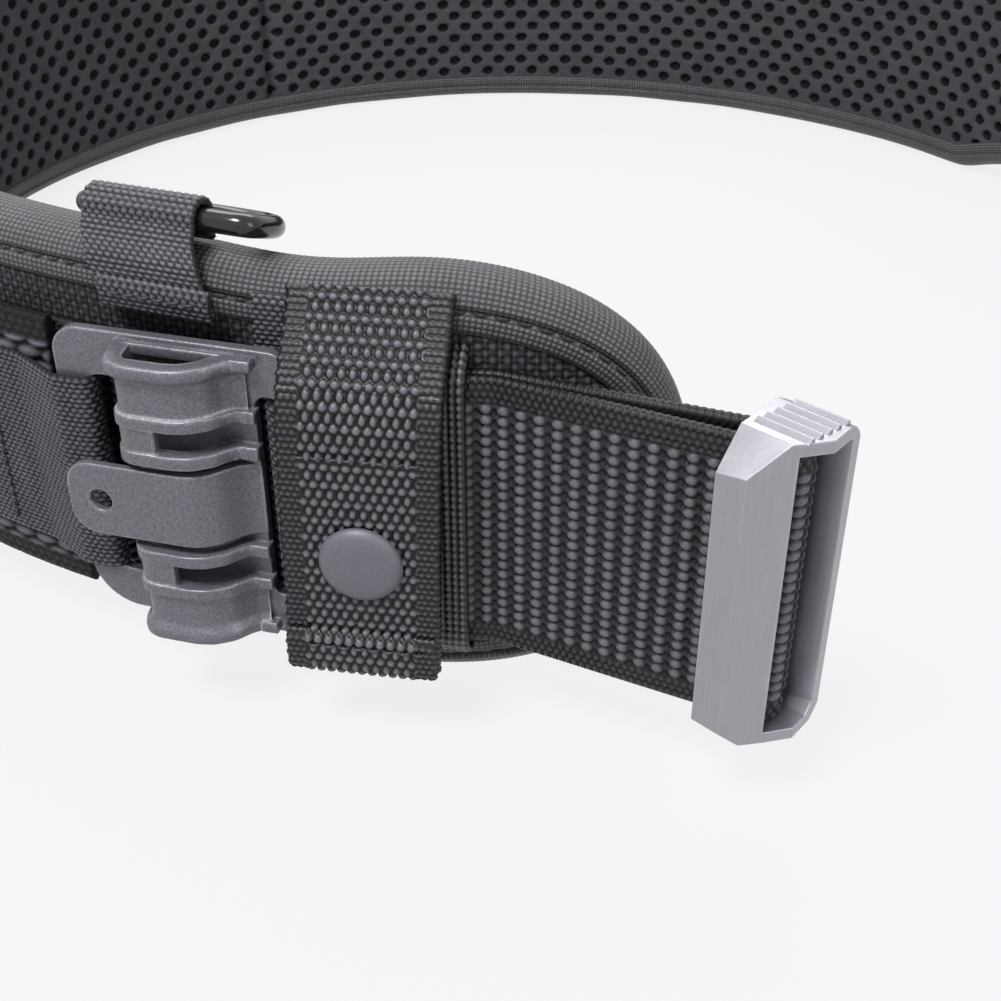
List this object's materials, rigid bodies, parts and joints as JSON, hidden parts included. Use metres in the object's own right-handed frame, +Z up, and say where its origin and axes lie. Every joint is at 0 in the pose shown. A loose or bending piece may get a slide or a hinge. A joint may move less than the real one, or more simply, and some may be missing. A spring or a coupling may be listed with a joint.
{
  "type": "tool belt",
  "caption": "Open padded waist belt with a load web, metal clip hubs for pouches, snap keepers, suspender rings and a metal hook buckle.",
  "frame": {"origin": "middle of the part's footprint, on the surface that the lower edge rests on", "axes": "+Z up through the loop, -Y towards the loop's open mouth and the buckle, +X towards the hook plate"},
  "size_m": [0.3888, 0.4135, 0.0916],
  "materials": {
    "foam": "matt closed-cell foam, not seen in use",
    "shell_fabric": "coarse basket weave, dull with small highlights",
    "mesh": "matt spacer mesh with open holes",
    "binding": "ribbed tape with a soft sheen",
    "load_web": "chunky woven webbing, low sheen",
    "panel_web": "chunky woven webbing, low sheen",
    "tab_web": "fine knitted tape, matt",
    "keeper_web": "coarse basket webbing with bright thread highlights",
    "loop_web": "ribbed webbing, low sheen",
    "coated_metal": "dark satin powder coat with worn bright edges",
    "snap_metal": "matt dark grey coat",
    "buckle_metal": "satin gunmetal",
    "pin_metal": "dark satin steel",
    "ring_wire": "gloss black"
  },
  "bodies": {
    "belt": {"pad_core_left": "foam", "pad_core_right": "foam", "outer_shell_left": "shell_fabric", "outer_shell_right": "shell_fabric", "mesh_lining_left": "mesh", "mesh_lining_right": "mesh", "bottom_binding": "binding", "arch_binding_left": "binding", "arch_binding_right": "binding", "top_binding": "binding", "tip_binding_left": "binding", "tip_binding_right": "binding", "belt_web": "load_web", "web_end_left": "load_web", "web_end_right": "load_web", "carrier_panel_left": "panel_web", "carrier_panel_right": "panel_web", "hub_plate_left": "coated_metal", "hub_plate_right": "coated_metal", "hub_rear_tab_left": "tab_web", "hub_rear_tab_right": "tab_web", "hub_front_tab_left": "tab_web", "hub_front_tab_right": "tab_web", "keeper_backing_left": "keeper_web", "keeper_backing_right": "keeper_web", "keeper_anchor_left": "keeper_web", "keeper_anchor_right": "keeper_web", "snap_stud_left": "snap_metal", "snap_stud_right": "snap_metal", "edge_tab_left": "tab_web", "edge_tab_right": "tab_web", "front_ring_loop_left": "loop_web", "front_ring_loop_right": "loop_web", "back_ring_loop_left": "loop_web", "back_ring_loop_right": "loop_web"},
    "lever_left": {"hub_lever_left": "coated_metal"},
    "flap_left": {"keeper_flap_left": "keeper_web", "snap_cap_left": "snap_metal", "snap_socket_left": "snap_metal"},
    "front_ring_left": {"front_ring_left": "ring_wire"},
    "back_ring_left": {"back_ring_left": "ring_wire"},
    "lever_right": {"hub_lever_right": "coated_metal"},
    "flap_right": {"keeper_flap_right": "keeper_web", "snap_cap_right": "snap_metal", "snap_socket_right": "snap_metal"},
    "front_ring_right": {"front_ring_right": "ring_wire"},
    "back_ring_right": {"back_ring_right": "ring_wire"},
    "buckle": {"buckle_frame": "buckle_metal", "buckle_pin": "pin_metal"},
    "hook": {"hook_plate": "buckle_metal", "hook_pin": "pin_metal"}
  },
  "joints": [
    {"name": "lever_press_left", "type": "hinge", "parent": "belt", "child": "lever_left", "pos_m": [-0.15228, -0.10646, 0.04375], "axis": [0, 0, -1], "range_deg": [0, 6], "stiffness_Nm_per_rad": 1.5},
    {"name": "flap_lift_left", "type": "hinge", "parent": "belt", "child": "flap_left", "pos_m": [-0.13643, -0.12119, 0.0745], "axis": [-0.7059, 0.7083, 0], "range_deg": [0, 110]},
    {"name": "front_ring_swing_left", "type": "hinge", "parent": "belt", "child": "front_ring_left", "pos_m": [-0.15515, -0.086, 0.088], "axis": [0.5446, -0.8387, 0], "range_deg": [0, 200]},
    {"name": "back_ring_swing_left", "type": "hinge", "parent": "belt", "child": "back_ring_left", "pos_m": [-0.0693, 0.18629, 0.088], "axis": [-0.9272, -0.3746, 0], "range_deg": [0, 200]},
    {"name": "lever_press_right", "type": "hinge", "parent": "belt", "child": "lever_right", "pos_m": [0.15228, -0.10646, 0.04375], "axis": [0, 0, 1], "range_deg": [0, 6], "stiffness_Nm_per_rad": 1.5},
    {"name": "flap_lift_right", "type": "hinge", "parent": "belt", "child": "flap_right", "pos_m": [0.13643, -0.12119, 0.0745], "axis": [-0.7059, -0.7083, 0], "range_deg": [0, 110]},
    {"name": "front_ring_swing_right", "type": "hinge", "parent": "belt", "child": "front_ring_right", "pos_m": [0.15515, -0.086, 0.088], "axis": [0.5446, 0.8387, 0], "range_deg": [0, 200]},
    {"name": "back_ring_swing_right", "type": "hinge", "parent": "belt", "child": "back_ring_right", "pos_m": [0.0693, 0.18629, 0.088], "axis": [-0.9272, 0.3746, 0], "range_deg": [0, 200]},
    {"name": "buckle_turn", "type": "hinge", "parent": "belt", "child": "buckle", "pos_m": [-0.098, -0.17474, 0.043], "axis": [0, 0, 1], "range_deg": [-6, 6]},
    {"name": "hook_turn", "type": "hinge", "parent": "belt", "child": "hook", "pos_m": [0.098, -0.17474, 0.043], "axis": [0, 0, 1], "range_deg": [-6, 6]}
  ]
}
